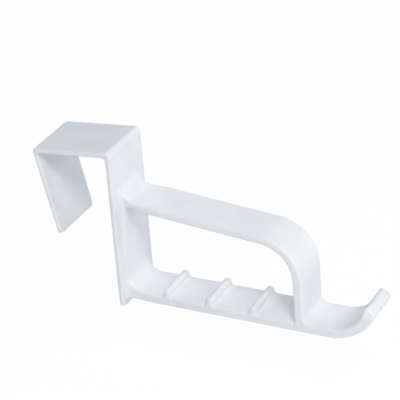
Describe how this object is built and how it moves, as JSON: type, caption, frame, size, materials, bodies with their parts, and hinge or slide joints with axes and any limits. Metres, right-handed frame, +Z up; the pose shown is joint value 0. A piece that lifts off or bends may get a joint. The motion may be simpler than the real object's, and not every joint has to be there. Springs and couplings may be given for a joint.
{
  "type": "over door hook",
  "caption": "One-piece moulded hook that clips over the top of a door, with a closed hanging loop, a ribbed bar and an upturned end.",
  "frame": {"origin": "middle of the clip's underside, where it rests on the door's top edge", "axes": "+X away from the door into the room, +Y along the door, +Z up"},
  "size_m": [0.1846, 0.0344, 0.09],
  "materials": {
    "white_plastic": "white injection-moulded plastic, fine satin surface"
  },
  "bodies": {
    "root": {"door_hook": "white_plastic"}
  },
  "joints": []
}
